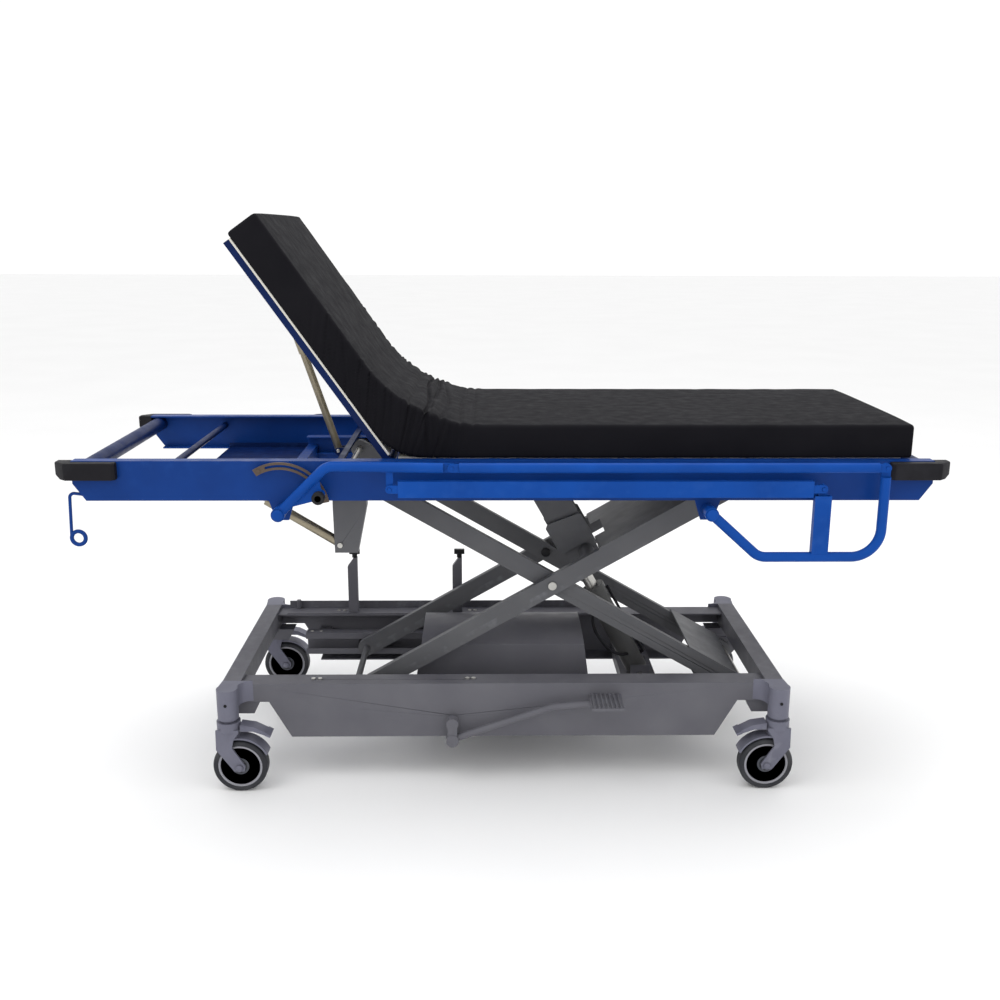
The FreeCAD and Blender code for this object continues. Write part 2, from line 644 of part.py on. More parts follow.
def make_tilt_spring():
    foot = (TILT_FOOT_X, TILT_SPRING_Y, TILT_FOOT_Z)
    head = (TILT_HEAD_X, TILT_SPRING_Y, TILT_HEAD_Z)
    body, stem = gas_spring(foot, head, 195, 32, 11, 5, 6)
    pin = rod_y(TILT_HEAD_X, TILT_HEAD_Z, (-230, -206), 5)
    parts["tilt_spring_body"] = body
    parts["tilt_spring_rod"] = joined([stem, pin])


# ---- top frame ------------------------------------------------------------------------------
def top_rail():
    """Channel side rail with bevelled ends, pivot studs and spring brackets (far side)."""
    end, bevel = FRAME_HALF_LENGTH, 27.0
    bevel_z = 728.0
    outline = [
        (-end, FRAME_TOP), (end, FRAME_TOP), (end, bevel_z), (end - bevel, FRAME_BOTTOM),
        (bevel - end, FRAME_BOTTOM), (-end, bevel_z),
    ]
    web = plate_xz(outline, (WEB_INNER_Y, FRAME_OUTER_Y))
    flange_y = (FRAME_OUTER_Y - FRAME_FLANGE, FRAME_OUTER_Y)
    top = block((-end, end), flange_y, (FRAME_TOP - PLATE, FRAME_TOP))
    bottom = block((bevel - end, end - bevel), flange_y, (FRAME_BOTTOM, FRAME_BOTTOM + PLATE))
    pieces = [web, top, bottom]
    for x in (SIDE_PIVOT_HEAD_X, SIDE_PIVOT_FOOT_X):
        lug = [(x - 30, 700), (x + 30, 700), (x + 28, 690), (x + 14, 646), (x - 14, 646), (x - 28, 690)]
        pieces.append(plate_xz(lug, (FRAME_OUTER_Y - 6, FRAME_OUTER_Y)))
        pieces.append(rod_y(x, SIDE_PIVOT_Z, (FRAME_OUTER_Y, SIDE_Y - 12), 13))
        pieces.append(rod_y(x, SIDE_PIVOT_Z, (FRAME_OUTER_Y, SIDE_Y + 14), 6))
        pieces.append(rod_y(x, SIDE_PIVOT_Z, (SIDE_Y + 12, SIDE_Y + 14), 9))
    hinge = rod_y(BACKREST_HINGE_X, BACKREST_HINGE_Z, (FRAME_OUTER_Y - FRAME_FLANGE - 1, WEB_INNER_Y), 11)
    return joined(pieces).cut(hinge)


def tilt_head_bracket():
    """Bracket inside the near rail that the tilt spring's rod end bears on."""
    x = (TILT_HEAD_X - 33, TILT_HEAD_X + 33)
    shelf = block(x, (-WEB_INNER_Y, -231), (742, 746))
    cheek = block(x, (-235, -231), (696, 746))
    return joined([shelf, cheek])


def sector(x, z, first, last, y):
    """Wide pie-slice between two angles, to trim a ring."""
    far = 200
    middle = (first + last) / 2
    return plate_xz([
        (x, z), (x + far * math.cos(first), z + far * math.sin(first)),
        (x + 1.5 * far * math.cos(middle), z + 1.5 * far * math.sin(middle)),
        (x + far * math.cos(last), z + far * math.sin(last)),
    ], y)


def quadrant():
    """Locking sector of a side rail: slotted arc plate on two spacers (far side)."""
    x, z, radius = SIDE_PIVOT_HEAD_X, SIDE_PIVOT_Z, QUADRANT_RADIUS
    y = (316, 320)
    band = sleeve_y(x, z, y, radius + 8, radius - 8)
    first, last = math.radians(PIN_ANGLE - 14), math.radians(RAISED_ANGLE + 16)
    band = band.common(sector(x, z, first, last, y))
    start, end = math.radians(PIN_ANGLE), math.radians(RAISED_ANGLE)
    slot = sleeve_y(x, z, y, radius + SLOT_HALF_WIDTH, radius - SLOT_HALF_WIDTH)
    slot = slot.common(sector(x, z, start, end, y))
    band = band.cut(slot)
    for turn in (start, end):
        band = band.cut(rod_y(x + radius * math.cos(turn), z + radius * math.sin(turn), y, SLOT_HALF_WIDTH))
    spacers = []
    for turn in (first + math.radians(5), last - math.radians(6)):
        spacer_x, spacer_z = x + radius * math.cos(turn), z + radius * math.sin(turn)
        spacers.append(rod_y(spacer_x, spacer_z, (FRAME_OUTER_Y, 322), 4))
    return joined([band] + spacers)


def bumper():
    """Rubber corner buffer that wraps the end of a side rail (foot end, far side)."""
    gap_y, gap_x = FRAME_OUTER_Y, FRAME_HALF_LENGTH
    outline = [
        (838, gap_y), (838, 321), (845, BUMPER_OUTER_Y), (946, BUMPER_OUTER_Y), (BUMPER_TIP_X, 304),
        (BUMPER_TIP_X, 284), (gap_x, 284), (gap_x, gap_y),
    ]
    body = plate_xy(outline, (739, 777))
    return body.cut(plate_xz([(960, 739), (974, 739), (974, 748)], (280, 330)))


def drain_hook():
    """Bent wire hook with a ring at its lower end."""
    y = -296.8
    points = [(-898, y, 700), (-948, y, 706), (-952, y, 606)]
    stem = swept(rounded_path(points, [10]), 3.5)
    ring = Part.makeTorus(15, 4.5, Vector(-937, y, 604), AXIS_Y)
    return joined([stem, ring])


def undertray():
    """Shallow sheet tray on the lower flanges, below the head part of the backrest."""
    x, floor = (-728, -516), FRAME_BOTTOM + PLATE
    sheet = block(x, (-190, WEB_INNER_Y), (floor, floor + 2.5))
    strap = block((x[0], x[0] + 28), (-WEB_INNER_Y, -190), (floor, floor + 2.5))
    lip = block(x, (266, 268.5), (floor, floor + 14))
    return joined([sheet, strap, lip])


def spring_foot():
    """Flat cross bar with two ears and the lower pivot of the backrest gas spring."""
    x, z = SPRING_FOOT_X, SPRING_FOOT_Z
    bar = block((x + 14, x + 28), (-WEB_INNER_Y, WEB_INNER_Y), (z + 6.5, z + 13))
    ear = [(x - 12, z), (x, z - 11), (x + 28, z + 6.5), (x + 28, z + 13), (x + 14, z + 13), (x - 8, z + 10)]
    ears = both_sides(plate_xz(ear, (10, 14)))
    return joined([bar] + ears + [rod_y(x, z, (-15, 15), 5)])


def make_top_frame():
    rail = top_rail()
    parts["top_rails"] = group([joined([mirrored_y(rail), tilt_head_bracket()]), rail])
    inner = (-WEB_INNER_Y, WEB_INNER_Y)
    end_tubes = [sleeve_y(x, 755, inner, 18, 16) for x in (-END_TUBE_X, END_TUBE_X)]
    bars = [square_tube((x, x + 30), inner, (DECK_BOTTOM - 22, DECK_BOTTOM), 2, 1) for x in (180, 440)]
    shafts = [
        rod_y(REST_BAR_X, REST_BAR_Z, inner, 8),
        rod_y(BACKREST_HINGE_X, BACKREST_HINGE_Z, inner, 11),
        rod_y(TILT_X, UPPER_PIVOT_Z, inner, TILT_RADIUS),
    ]
    parts["cross_tubes"] = group(end_tubes + bars + shafts + [spring_foot(), undertray()])
    parts["seat_deck"] = block((-235, 878), (-DECK_HALF_WIDTH, DECK_HALF_WIDTH), (DECK_BOTTOM, DECK_TOP))
    seat_z = (DECK_TOP + SOFT_GAP, DECK_TOP + SOFT_GAP + MATTRESS_THICKNESS)
    seat_y = (-MATTRESS_HALF_WIDTH, MATTRESS_HALF_WIDTH)
    parts["mattress_seat"] = block((-195, MATTRESS_FOOT_X), seat_y, seat_z)
    far_bumpers = [bumper(), mirrored_x(bumper())]
    parts["bumpers"] = group(far_bumpers + [mirrored_y(shape) for shape in far_bumpers])
    parts["drain_hook"] = drain_hook()
    parts["quadrants"] = group(both_sides(quadrant()))


# ---- backrest -------------------------------------------------------------------------------
def backrest_raised(shape):
    """A backrest part modelled lying flat, turned up to the stored angle."""
    return turned_y(shape, BACKREST_HINGE_X, BACKREST_HINGE_Z, BACKREST_ANGLE)


def make_backrest():
    low, high = DECK_BOTTOM - BACKREST_TUBE, DECK_BOTTOM
    side = square_tube((BACKREST_HEAD_X, BACKREST_HINGE_X - 12), (252, 274), (low, high), 2, 0)
    knuckle = rod_y(BACKREST_HINGE_X, BACKREST_HINGE_Z, (250, 274), 15)
    link = block((BACKREST_HINGE_X - 20, BACKREST_HINGE_X - 8), (252, 274), (low, high - 4))
    rail = joined([side, knuckle, link])
    rail = rail.cut(rod_y(BACKREST_HINGE_X, BACKREST_HINGE_Z, (240, 280), 11 + RUNNING_GAP))
    cross_x = (BACKREST_HEAD_X, SPRING_HEAD_X - 11)
    cross = [square_tube((x, x + 22), (-252, 252), (high - 12, high), 2, 1) for x in cross_x]
    x, z = SPRING_HEAD_X, SPRING_HEAD_Z
    ear = plate_xz([(x - 9, z - 9), (x + 9, z - 9), (x + 10, high - 10), (x - 10, high - 10)], (12, 16))
    parts["backrest_frame"] = backrest_raised(joined(both_sides(rail) + cross + both_sides(ear)))
    board_y = (-BOARD_HALF_WIDTH, BOARD_HALF_WIDTH)
    board = block((BACKREST_HEAD_X, BACKREST_HINGE_X - 17), board_y, (DECK_BOTTOM, DECK_TOP))
    parts["backrest_board"] = backrest_raised(board)
    pad_z = (DECK_TOP + SOFT_GAP, DECK_TOP + SOFT_GAP + MATTRESS_THICKNESS)
    pad_y = (-MATTRESS_HALF_WIDTH, MATTRESS_HALF_WIDTH)
    parts["mattress_back"] = backrest_raised(block((BACKREST_HEAD_X - 12, BACKREST_HINGE_X - 62), pad_y, pad_z))
    raised_head = backrest_raised(rod_y(SPRING_HEAD_X, SPRING_HEAD_Z, (0, 1), 1)).BoundBox.Center
    foot = (SPRING_FOOT_X, 0, SPRING_FOOT_Z)
    head = (raised_head.x, 0, raised_head.z)
    body, stem = gas_spring(foot, head, 262, 134, 9, 5, 5, (252, 11))
    parts["backrest_spring_body"] = body
    parts["backrest_spring_rod"] = joined([stem, rod_y(head[0], head[2], (-11, 11), 5)])


# ---- folding side rails ---------------------------------------------------------------------
TAB_Y = (342.0, 347.5)
LUG_Y = (348.5, 354.0)
PIN_Y = (340.0, 356.0)
LINK_PIN_RADIUS = 4.0
OPEN_PIVOT_GAP = 0.3


def tab(x, z, to_x, to_z, y, half_width):
    """Flat tab with a round end at one point, reaching towards another."""
    line = Vector(to_x - x, 0, to_z - z)
    across = Vector(-line.z, 0, line.x).normalize() * half_width
    start, end = Vector(x, 0, z), Vector(to_x, 0, to_z)
    corners = [start + across, end + across, end - across, start - across]
    strap = plate_xz([(corner.x, corner.z) for corner in corners], y)
    return strap.fuse(rod_y(x, z, y, half_width))


def side_leg_head():
    """Head-end leg: hub, bent tube, tabs for both bars and the locking pin's guide."""
    x, z = SIDE_PIVOT_HEAD_X, SIDE_PIVOT_Z
    top_x, top_z = x + TOP_LINK[0], z + TOP_LINK[1]
    middle_x, middle_z = x + MIDDLE_LINK[0], z + MIDDLE_LINK[1]
    points = [(x, SIDE_Y, z), (x + 106, SIDE_Y, top_z + 4), (top_x - 18, SIDE_Y, top_z)]
    tube = bent_tube(points, [38], SIDE_TUBE_RADIUS, 2)
    hub = rod_y(x, z, (SIDE_Y - 11.4, SIDE_Y + 11.4), 15)
    top_tab = tab(top_x, top_z, top_x - 24, top_z, TAB_Y, 10)
    middle_tab = tab(middle_x, middle_z, middle_x, top_z - 6, TAB_Y, 7.5)
    turn = math.radians(PIN_ANGLE)
    pin_x, pin_z = x + QUADRANT_RADIUS * math.cos(turn), z + QUADRANT_RADIUS * math.sin(turn)
    gusset = plate_xz([(x + 20, z + 14), (pin_x, pin_z - 9), (pin_x + 4, pin_z + 8), (x + 88, z + 84)], (345, 351))
    guide = rod_y(pin_x, pin_z, (330, 360), 9)
    leg = joined([tube, hub, top_tab, middle_tab, gusset, guide])
    leg = leg.cut(rod_y(pin_x, pin_z, (329, 361), LINK_PIN_RADIUS + RUNNING_GAP))
    leg = leg.cut(rod_y(x, z, (330, 366), 6 + RUNNING_GAP))
    pins = [rod_y(top_x, top_z, PIN_Y, LINK_PIN_RADIUS), rod_y(middle_x, middle_z, PIN_Y, LINK_PIN_RADIUS)]
    return joined([leg] + pins)


def side_leg_foot():
    """Foot-end leg: hub, bent loop tube, square upright and tabs for both bars."""
    x, z = SIDE_PIVOT_FOOT_X, SIDE_PIVOT_Z
    top_x, top_z = x + TOP_LINK[0], z + TOP_LINK[1]
    middle_x, middle_z = x + MIDDLE_LINK[0], z + MIDDLE_LINK[1]
    low = z - 97.5
    points = [(x, SIDE_Y, z), (x + 108, SIDE_Y, low), (top_x, SIDE_Y, low), (top_x, SIDE_Y, top_z - 20)]
    tube = bent_tube(points, [40, 62], SIDE_TUBE_RADIUS, 2)
    hub = rod_y(x, z, (SIDE_Y - 11.4, SIDE_Y + 11.4), 15)
    top_tab = tab(top_x, top_z, top_x, top_z - 26, TAB_Y, 10)
    upright = square_tube((middle_x - 18, middle_x + 18), (SIDE_Y - 8, SIDE_Y + 8), (low + 8, middle_z - 15), 2, 2)
    middle_tab = tab(middle_x, middle_z, middle_x, middle_z - 22, TAB_Y, 10)
    leg = joined([tube, hub, top_tab, upright, middle_tab])
    leg = leg.cut(rod_y(x, z, (330, 366), 6 + RUNNING_GAP))
    pins = [rod_y(top_x, top_z, PIN_Y, LINK_PIN_RADIUS), rod_y(middle_x, middle_z, PIN_Y, LINK_PIN_RADIUS)]
    return joined([leg] + pins)


def side_bar(link, half_height, solid):
    """Bar between the two legs with a drilled lug at each end."""
    x, z = SIDE_PIVOT_HEAD_X + link[0], SIDE_PIVOT_Z + link[1]
    end_x = SIDE_PIVOT_FOOT_X + link[0]
    bar = joined([solid, tab(x, z, x + 30, z, LUG_Y, half_height), tab(end_x, z, end_x - 30, z, LUG_Y, half_height)])
    bar = bar.cut(rod_y(x, z, (339, 357), LINK_PIN_RADIUS + RUNNING_GAP))
    return bar.cut(rod_y(end_x, z, (339, 357), LINK_PIN_RADIUS + OPEN_PIVOT_GAP))


def side_top_bar():
    x, z = SIDE_PIVOT_HEAD_X + TOP_LINK[0], SIDE_PIVOT_Z + TOP_LINK[1]
    end_x = SIDE_PIVOT_FOOT_X + TOP_LINK[0]
    start, end = (x + 16, SIDE_Y, z), (end_x - 16, SIDE_Y, z)
    tube = rod(start, end, SIDE_TUBE_RADIUS).cut(rod(start, end, SIDE_TUBE_RADIUS - 2))
    return side_bar(TOP_LINK, 9, tube)


def side_middle_bar():
    x, z = SIDE_PIVOT_HEAD_X + MIDDLE_LINK[0], SIDE_PIVOT_Z + MIDDLE_LINK[1]
    end_x = SIDE_PIVOT_FOOT_X + MIDDLE_LINK[0]
    tube = square_tube((x + 18, end_x - 22), (SIDE_Y - 8, SIDE_Y + 8), (z - 18, z + 18), 2, 0)
    return side_bar(MIDDLE_LINK, 9, tube)


def side_pin():
    """Spring-loaded locking pin with its round knob."""
    turn = math.radians(PIN_ANGLE)
    x = SIDE_PIVOT_HEAD_X + QUADRANT_RADIUS * math.cos(turn)
    z = SIDE_PIVOT_Z + QUADRANT_RADIUS * math.sin(turn)
    tip = rod_y(x, z, (315, 326), PIN_TIP_RADIUS)
    return joined([tip, rod_y(x, z, (326, 364), LINK_PIN_RADIUS), rod_y(x, z, (362, 382), 12.5)])


def make_side_rails():
    for name, side in (("near", -1), ("far", 1)):
        parts[f"side_{name}_leg_head"] = on_side(side_leg_head(), side)
        parts[f"side_{name}_leg_foot"] = on_side(side_leg_foot(), side)
        parts[f"side_{name}_top_bar"] = on_side(side_top_bar(), side)
        parts[f"side_{name}_middle_bar"] = on_side(side_middle_bar(), side)
        parts[f"side_{name}_pin"] = on_side(side_pin(), side)


make_casters()
make_base()
make_scissor()
make_lift_cylinder()
make_subframe()
make_tilt_spring()
make_top_frame()
make_backrest()
make_side_rails()

os.makedirs("parts", exist_ok=True)
for node, shape in parts.items():
    shape.exportStep(f"parts/{node}.step")
    solids = shape.Solids
    valid = all(solid.isValid() for solid in solids)
    print(f"{node:28s} solids {len(solids)}  volume {shape.Volume / 1000:9.1f} cm3  valid {valid}")
print("nodes", len(parts))
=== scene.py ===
"""Looks of the stretcher trolley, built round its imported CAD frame. Lengths in metres."""

import json
import math
import random

import bpy
import bmesh
from mathutils import Matrix, Vector


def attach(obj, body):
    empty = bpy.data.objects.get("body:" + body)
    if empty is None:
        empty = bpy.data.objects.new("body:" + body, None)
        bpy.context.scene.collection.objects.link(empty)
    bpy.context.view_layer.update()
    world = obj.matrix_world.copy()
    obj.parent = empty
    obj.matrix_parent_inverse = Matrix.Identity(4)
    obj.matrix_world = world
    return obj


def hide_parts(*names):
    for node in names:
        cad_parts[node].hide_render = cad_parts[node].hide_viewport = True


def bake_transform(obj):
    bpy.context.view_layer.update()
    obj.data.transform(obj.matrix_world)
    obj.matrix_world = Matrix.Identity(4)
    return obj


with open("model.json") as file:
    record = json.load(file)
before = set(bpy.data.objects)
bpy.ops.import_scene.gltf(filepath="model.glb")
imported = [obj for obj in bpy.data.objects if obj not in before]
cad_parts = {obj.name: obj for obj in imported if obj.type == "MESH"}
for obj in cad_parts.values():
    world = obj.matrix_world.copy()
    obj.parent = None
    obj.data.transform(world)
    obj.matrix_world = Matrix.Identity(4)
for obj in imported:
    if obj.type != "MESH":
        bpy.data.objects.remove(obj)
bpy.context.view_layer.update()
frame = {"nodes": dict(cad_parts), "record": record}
NODES = frame["nodes"]
SCENE = bpy.context.scene


# ---- camera ---------------------------------------------------------------------------------
CAMERA_PLACE = (-0.0493, -2.5933, 1.2611)
CAMERA_YAW = 0.016563
CAMERA_TILT = 0.244059
CAMERA_ROLL = 0.003220
FOCAL_TO_WIDTH = 1.07919
SENSOR = 36.0


def make_camera():
    data = bpy.data.cameras.new("camera")
    data.sensor_width = SENSOR
    data.lens = SENSOR * FOCAL_TO_WIDTH
    data.clip_start, data.clip_end = 0.05, 60
    camera = bpy.data.objects.new("camera", data)
    SCENE.collection.objects.link(camera)
    forward = Vector((
        math.sin(CAMERA_YAW) * math.cos(CAMERA_TILT),
        math.cos(CAMERA_YAW) * math.cos(CAMERA_TILT),
        -math.sin(CAMERA_TILT),
    ))
    right = Vector((math.cos(CAMERA_YAW), -math.sin(CAMERA_YAW), 0))
    up = right.cross(forward)
    rolled_right = right * math.cos(CAMERA_ROLL) + up * math.sin(CAMERA_ROLL)
    rolled_up = up * math.cos(CAMERA_ROLL) - right * math.sin(CAMERA_ROLL)
    turn = Matrix((rolled_right, rolled_up, -forward)).transposed().to_4x4()
    camera.matrix_world = Matrix.Translation(CAMERA_PLACE) @ turn
    SCENE.camera = camera


# ---- materials ------------------------------------------------------------------------------
def shader_tree(name):
    material = bpy.data.materials.new(name)
    material.use_nodes = True
    tree = material.node_tree
    return material, tree, tree.nodes["Principled BSDF"]


def noise(tree, scale, detail=3.0, stretch=(1, 1, 1), roughness=0.5):
    coordinates = tree.nodes.new("ShaderNodeTexCoord")
    mapping = tree.nodes.new("ShaderNodeMapping")
    mapping.inputs["Scale"].default_value = stretch
    texture = tree.nodes.new("ShaderNodeTexNoise")
    texture.inputs["Scale"].default_value = scale
    texture.inputs["Detail"].default_value = detail
    texture.inputs["Roughness"].default_value = roughness
    tree.links.new(coordinates.outputs["Object"], mapping.inputs["Vector"])
    tree.links.new(mapping.outputs["Vector"], texture.inputs["Vector"])
    return texture.outputs["Fac"]


def between(tree, factor, low, high, start=0.3, end=0.7):
    node = tree.nodes.new("ShaderNodeMapRange")
    node.inputs["From Min"].default_value = start
    node.inputs["From Max"].default_value = end
    node.inputs["To Min"].default_value = low
    node.inputs["To Max"].default_value = high
    tree.links.new(factor, node.inputs["Value"])
    return node.outputs["Result"]


def mixed(tree, factor, first, second):
    """Colour between first and second, each a plain colour or another node's output."""
    node = tree.nodes.new("ShaderNodeMix")
    node.data_type = "RGBA"
    for name, value in (("A", first), ("B", second)):
        if isinstance(value, tuple):
            node.inputs[name].default_value = (*value, 1)
        else:
            tree.links.new(value, node.inputs[name])
    tree.links.new(factor, node.inputs["Factor"])
    return node.outputs["Result"]


def bumped(tree, shader, height, strength, distance):
    node = tree.nodes.new("ShaderNodeBump")
    node.inputs["Strength"].default_value = strength
    node.inputs["Distance"].default_value = distance
    tree.links.new(height, node.inputs["Height"])
    tree.links.new(node.outputs["Normal"], shader.inputs["Normal"])


def combined(tree, operation, first, second):
    """Sum or product of an output and a number or another output."""
    node = tree.nodes.new("ShaderNodeMath")
    node.operation = operation
    tree.links.new(first, node.inputs[0])
    if isinstance(second, float):
        node.inputs[1].default_value = second
    else:
        tree.links.new(second, node.inputs[1])
    return node.outputs["Value"]


def edge_mask(tree, low, high):
    """Bright where the surface is a convex edge, for worn paint."""
    geometry = tree.nodes.new("ShaderNodeNewGeometry")
    return between(tree, geometry.outputs["Pointiness"], 0, 1, low, high)


def paint(name, colour, dark, rough, coat, speckle, worn, metallic=0.0, gloss=0.12):
    """Sprayed paint: fine orange peel, faint mottling, rubbed edges."""
    material, tree, shader = shader_tree(name)
    mottling = between(tree, noise(tree, 9, 5), 0, 1)
    base = mixed(tree, mottling, colour, dark)
    patches = between(tree, noise(tree, 40, 4), 0, 0.25, 0.5, 0.7)
    rubbed = combined(tree, "MULTIPLY", edge_mask(tree, 0.53, 0.62), patches)
    tree.links.new(mixed(tree, rubbed, base, worn), shader.inputs["Base Color"])
    grime = between(tree, noise(tree, 26, 6), rough - 0.05, rough + 0.10)
    tree.links.new(grime, shader.inputs["Roughness"])
    shader.inputs["Metallic"].default_value = metallic
    shader.inputs["Coat Weight"].default_value = coat
    shader.inputs["Coat Roughness"].default_value = 0.18
    shader.inputs["Specular IOR Level"].default_value = gloss
    bumped(tree, shader, noise(tree, speckle, 2), 0.14, 0.0006)
    return material


def metal(name, colour, rough):
    """Plated or ground steel with fine lines along one axis."""
    material, tree, shader = shader_tree(name)
    lines = noise(tree, 260, 3, (1, 8, 1))
    stain = between(tree, noise(tree, 22, 5), 0, 1)
    darker = tuple(channel * 0.72 for channel in colour)
    tree.links.new(mixed(tree, stain, colour, darker), shader.inputs["Base Color"])
    tree.links.new(between(tree, lines, rough - 0.08, rough + 0.12), shader.inputs["Roughness"])
    shader.inputs["Metallic"].default_value = 1.0
    bumped(tree, shader, lines, 0.12, 0.0003)
    return material


def moulded(name, colour, dusty, rough, grain=700, strength=0.3):
    """Moulded rubber or plastic with a leathery skin and a little dust."""
    material, tree, shader = shader_tree(name)
    dust = between(tree, noise(tree, 14, 6), 0, 0.8, 0.45, 0.75)
    tree.links.new(mixed(tree, dust, colour, dusty), shader.inputs["Base Color"])
    tree.links.new(between(tree, noise(tree, 60, 4), rough - 0.06, rough + 0.1), shader.inputs["Roughness"])
    shader.inputs["Specular IOR Level"].default_value = 0.15
    bumped(tree, shader, noise(tree, grain, 2), strength, 0.0004)
    return material


def coated_fabric(name, colour, dusty):
    """Black wipe-clean cover: fine weave under a soft coating."""
    material, tree, shader = shader_tree(name)
    dust = between(tree, noise(tree, 5, 6), 0, 1, 0.35, 0.75)
    tree.links.new(mixed(tree, dust, colour, dusty), shader.inputs["Base Color"])
    tree.links.new(between(tree, noise(tree, 35, 5), 0.62, 0.76), shader.inputs["Roughness"])
    coordinates = tree.nodes.new("ShaderNodeTexCoord")
    threads = []
    for direction in ("X", "Y"):
        wave = tree.nodes.new("ShaderNodeTexWave")
        wave.bands_direction = direction
        wave.inputs["Scale"].default_value = 260
        wave.inputs["Distortion"].default_value = 0.6
        wave.inputs["Detail"].default_value = 1
        tree.links.new(coordinates.outputs["Object"], wave.inputs["Vector"])
        threads.append(wave.outputs["Fac"])
    weave = combined(tree, "MULTIPLY", *threads)
    creases = noise(tree, 24, 4, (1.0, 0.5, 1.0), 0.6)
    height = combined(tree, "ADD", combined(tree, "MULTIPLY", weave, 0.12), creases)
    bumped(tree, shader, height, 0.20, 0.0014)
    shader.inputs["Specular IOR Level"].default_value = 0.05
    return material


def laminate(name, colour, speck):
    """Smooth board with a faint speckle and a dull gloss."""
    material, tree, shader = shader_tree(name)
    specks = between(tree, noise(tree, 420, 2), 0, 0.5, 0.52, 0.68)
    tree.links.new(mixed(tree, specks, colour, speck), shader.inputs["Base Color"])
    tree.links.new(between(tree, noise(tree, 18, 5), 0.34, 0.5), shader.inputs["Roughness"])
    bumped(tree, shader, noise(tree, 120, 3), 0.08, 0.0005)
    return material


FRAME_BLUE = (0.0036, 0.040, 0.215)
ARM_GREY = ((0.120, 0.121, 0.128), (0.100, 0.101, 0.109))
GREY_WORN = (0.30, 0.31, 0.34)
SUBFRAME_SPLIT = (0.6765, 0.6772)


def two_tone(name):
    """Subframe paint: blue channel rails, grey below them on the strut leg."""
    material = paint(name, *ARM_GREY, 0.42, 0.04, 640, GREY_WORN)
    tree = material.node_tree
    shader = tree.nodes["Principled BSDF"]
    grey = shader.inputs["Base Color"].links[0].from_socket
    coordinates = tree.nodes.new("ShaderNodeTexCoord")
    split = tree.nodes.new("ShaderNodeSeparateXYZ")
    tree.links.new(coordinates.outputs["Object"], split.inputs["Vector"])
    below = between(tree, split.outputs["Z"], 1, 0, *SUBFRAME_SPLIT)
    tree.links.new(mixed(tree, below, FRAME_BLUE, grey), shader.inputs["Base Color"])
    return material


def floor_finish(name):
    """Matt, nearly white studio floor."""
    material, tree, shader = shader_tree(name)
    tone = between(tree, noise(tree, 1.5, 3), 0, 1)
    tree.links.new(mixed(tree, tone, (0.90, 0.90, 0.90), (0.88, 0.88, 0.88)), shader.inputs["Base Color"])
    shader.inputs["Roughness"].default_value = 0.9
    return material


def make_materials():
    """Every finish by name: the kind of finish, then its colours and settings."""
    recipes = {
        "frame_blue": (paint, FRAME_BLUE, (0.0030, 0.032, 0.175), 0.36, 0.02, 520, (0.02, 0.09, 0.34)),
        "rail_blue": (
            paint, (0.0060, 0.066, 0.335), (0.0050, 0.052, 0.27), 0.34, 0.03, 520, (0.04, 0.13, 0.45),
            0.0, 0.06,
        ),
        # Darker copy of the frame blue for the backrest frame and cross tubes: painted shade, not a paint
        # of their own.
        "frame_navy": (
            paint, (0.0014, 0.0125, 0.078), (0.0011, 0.010, 0.062), 0.42, 0.02, 520, (0.01, 0.05, 0.20),
        ),
        "quadrant_bronze": (
            paint, (0.115, 0.085, 0.066), (0.085, 0.062, 0.048), 0.38, 0.05, 420, (0.30, 0.26, 0.22),
        ),
        "base_grey": (paint, (0.135, 0.134, 0.150), (0.112, 0.111, 0.128), 0.45, 0.02, 640, GREY_WORN),
        "arm_grey": (paint, *ARM_GREY, 0.42, 0.04, 640, GREY_WORN),
        "caster_grey": (
            paint, (0.165, 0.166, 0.210), (0.13, 0.131, 0.17), 0.38, 0.05, 420, (0.45, 0.45, 0.5), 0.15,
        ),
        "spring_grey": (paint, (0.10, 0.10, 0.10), (0.075, 0.075, 0.075), 0.34, 0.1, 500, (0.3, 0.3, 0.3)),
        "bronze_zinc": (metal, (0.34, 0.30, 0.22), 0.36),
        "zinc": (metal, (0.60, 0.59, 0.56), 0.34),
        "caster_wheel": (moulded, (0.030, 0.031, 0.036), (0.085, 0.085, 0.09), 0.5),
        "black_rubber": (moulded, (0.0085, 0.0080, 0.0105), (0.022, 0.022, 0.027), 0.55),
        "black_plastic": (moulded, (0.010, 0.010, 0.011), (0.03, 0.03, 0.033), 0.38, 900, 0.15),
        "deck_cream": (laminate, (0.72, 0.70, 0.63), (0.55, 0.53, 0.47)),
        "mattress_cover": (coated_fabric, (0.0074, 0.0071, 0.0092), (0.0104, 0.0100, 0.0124)),
        "wheel_ring": (moulded, (0.30, 0.30, 0.33), (0.22, 0.22, 0.24), 0.42),
        "wheel_disc": (moulded, (0.075, 0.08, 0.095), (0.11, 0.11, 0.12), 0.36),
        "floor": (floor_finish,),
        "subframe_two_tone": (two_tone,),
    }
    return {name: kind(name, *settings) for name, (kind, *settings) in recipes.items()}


MATERIALS = make_materials()
SLOT_OF = {row["node"]: row["material_slot"] for row in frame["record"]["subparts"]}


def dress(obj, material):
    obj.data.materials.clear()
    obj.data.materials.append(MATERIALS[material])


# ---- carried-over CAD nodes -----------------------------------------------------------------
EDGE_BREAK = 0.0007
BUMPER_BREAK = 0.0035
NODE_FINISH = {
    # The backrest frame and cross tubes take the darker copy of the frame blue, which is painted shade.
    "quadrants": "quadrant_bronze", "backrest_frame": "frame_navy", "cross_tubes": "frame_navy",
    "backrest_spring_body": "bronze_zinc", "backrest_spring_rod": "bronze_zinc",
    "tilt_spring_body": "bronze_zinc", "subframe": "subframe_two_tone",
}


